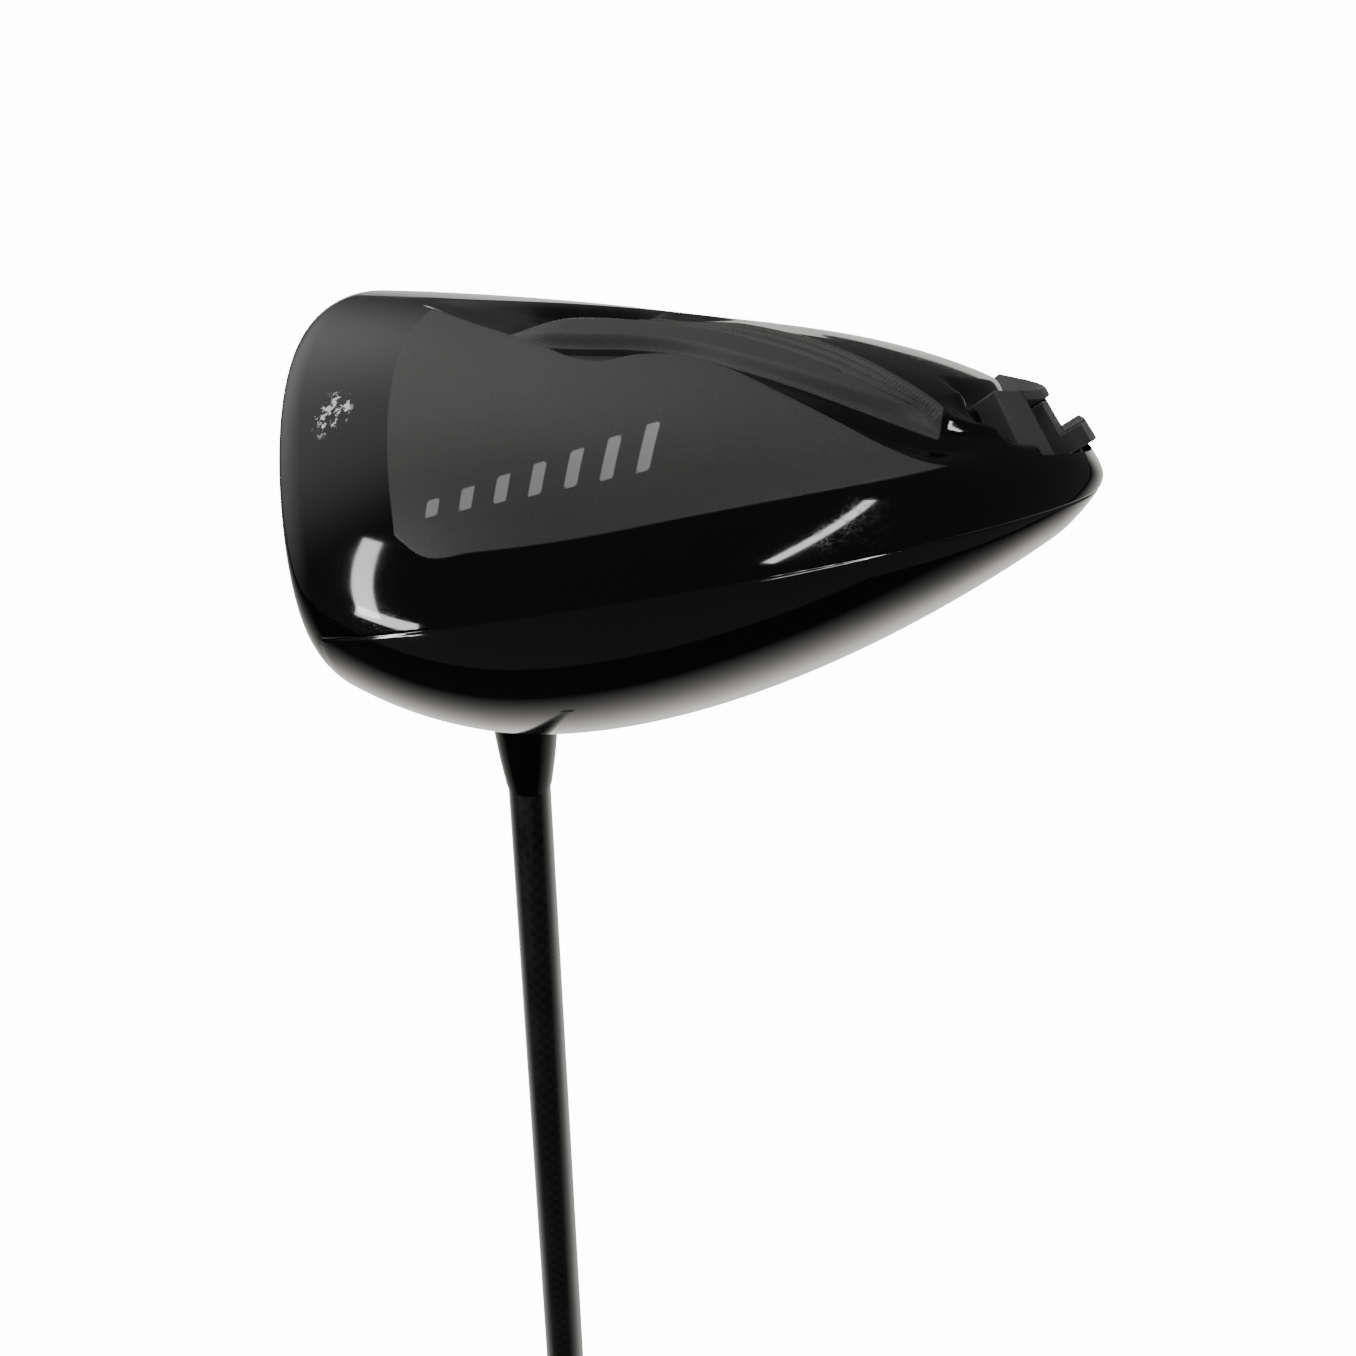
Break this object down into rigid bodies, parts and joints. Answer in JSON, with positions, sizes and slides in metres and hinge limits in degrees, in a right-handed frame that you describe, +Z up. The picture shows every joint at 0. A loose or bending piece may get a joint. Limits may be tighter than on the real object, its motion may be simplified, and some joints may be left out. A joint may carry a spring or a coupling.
{
  "type": "golf driver",
  "caption": "Right-handed golf driver: hollow metal head with an adjustable hosel and a sliding back weight, tapered graphite shaft and rubber grip.",
  "frame": {"origin": "centre of the grip's butt end, on the shaft's axis", "axes": "+Z runs up the shaft's axis from the butt end to the head, +X points from the face to the back of the head, and the toe points to -Y"},
  "size_m": [0.1142, 0.1094, 1.1928],
  "materials": {
    "crown_paint": "deep gloss black over a titanium crown",
    "body_metal": "gloss black coated titanium casting with bead-blasted matte bands",
    "face_metal": "satin black forged titanium",
    "tube_metal": "plain machined aluminium",
    "anodised": "satin black anodised aluminium",
    "weight_metal": "dark bead-blasted tungsten steel",
    "screw_steel": "satin stainless steel",
    "black_screw": "black oxide steel",
    "elastomer": "matte elastomer",
    "nylon": "natural nylon",
    "ferrule_plastic": "polished black plastic",
    "shaft_paint": "clear-coated dark carbon fibre",
    "grip_rubber": "matte black rubber",
    "tape": "creped paper tape"
  },
  "bodies": {
    "club": {"grip": "grip_rubber", "grip_cap": "grip_rubber", "grip_tape": "tape", "shaft": "shaft_paint", "tip_weight": "weight_metal", "ferrule": "ferrule_plastic", "adapter_sleeve": "anodised"},
    "index_ring": {"adjuster_ring": "anodised"},
    "head": {"body_shell": "body_metal", "crown_shell": "crown_paint", "face_plate": "face_metal", "hosel_tube": "tube_metal", "hosel_screw_washer": "screw_steel"},
    "head_screw": {"hosel_screw": "black_screw", "hosel_screw_retainer": "nylon"},
    "back_weight": {"slide_weight": "weight_metal", "weight_pad": "elastomer"},
    "clamp_screw": {"weight_screw": "screw_steel", "weight_screw_clip": "screw_steel"},
    "clamp_nut": {"weight_nut": "screw_steel"}
  },
  "joints": [
    {"name": "head_turn", "type": "hinge", "parent": "club", "child": "index_ring", "pos_m": [0, 0.00019, 1.077], "axis": [0, -0.0175, -0.9998], "continuous": true},
    {"name": "head_lift", "type": "slide", "parent": "index_ring", "child": "head", "axis": [0, 0.0175, 0.9998], "range_m": [0, 0.048]},
    {"name": "hosel_screw_turn", "type": "hinge", "parent": "head", "child": "head_screw", "pos_m": [0, 0.00134, 1.14299], "axis": [0, 0.0175, 0.9998], "continuous": true},
    {"name": "weight_slide", "type": "hinge", "parent": "head", "child": "back_weight", "pos_m": [0.0465, -0.02233, 1.17151], "axis": [0, -0.5446, -0.8387], "range_deg": [-11, 11]},
    {"name": "weight_screw_turn", "type": "hinge", "parent": "back_weight", "child": "clamp_screw", "pos_m": [0.0919, -0.02761, 1.16337], "axis": [0.788, 0.3353, 0.5163], "range_deg": [0, 720]},
    {"name": "weight_nut_travel", "type": "slide", "parent": "back_weight", "child": "clamp_nut", "axis": [-0.788, -0.3353, -0.5163], "range_m": [0, 0.0016]}
  ],
  "couplings": [
    {"joint": "weight_screw_turn", "follows": "weight_nut_travel", "rad_per_m": 7854}
  ]
}
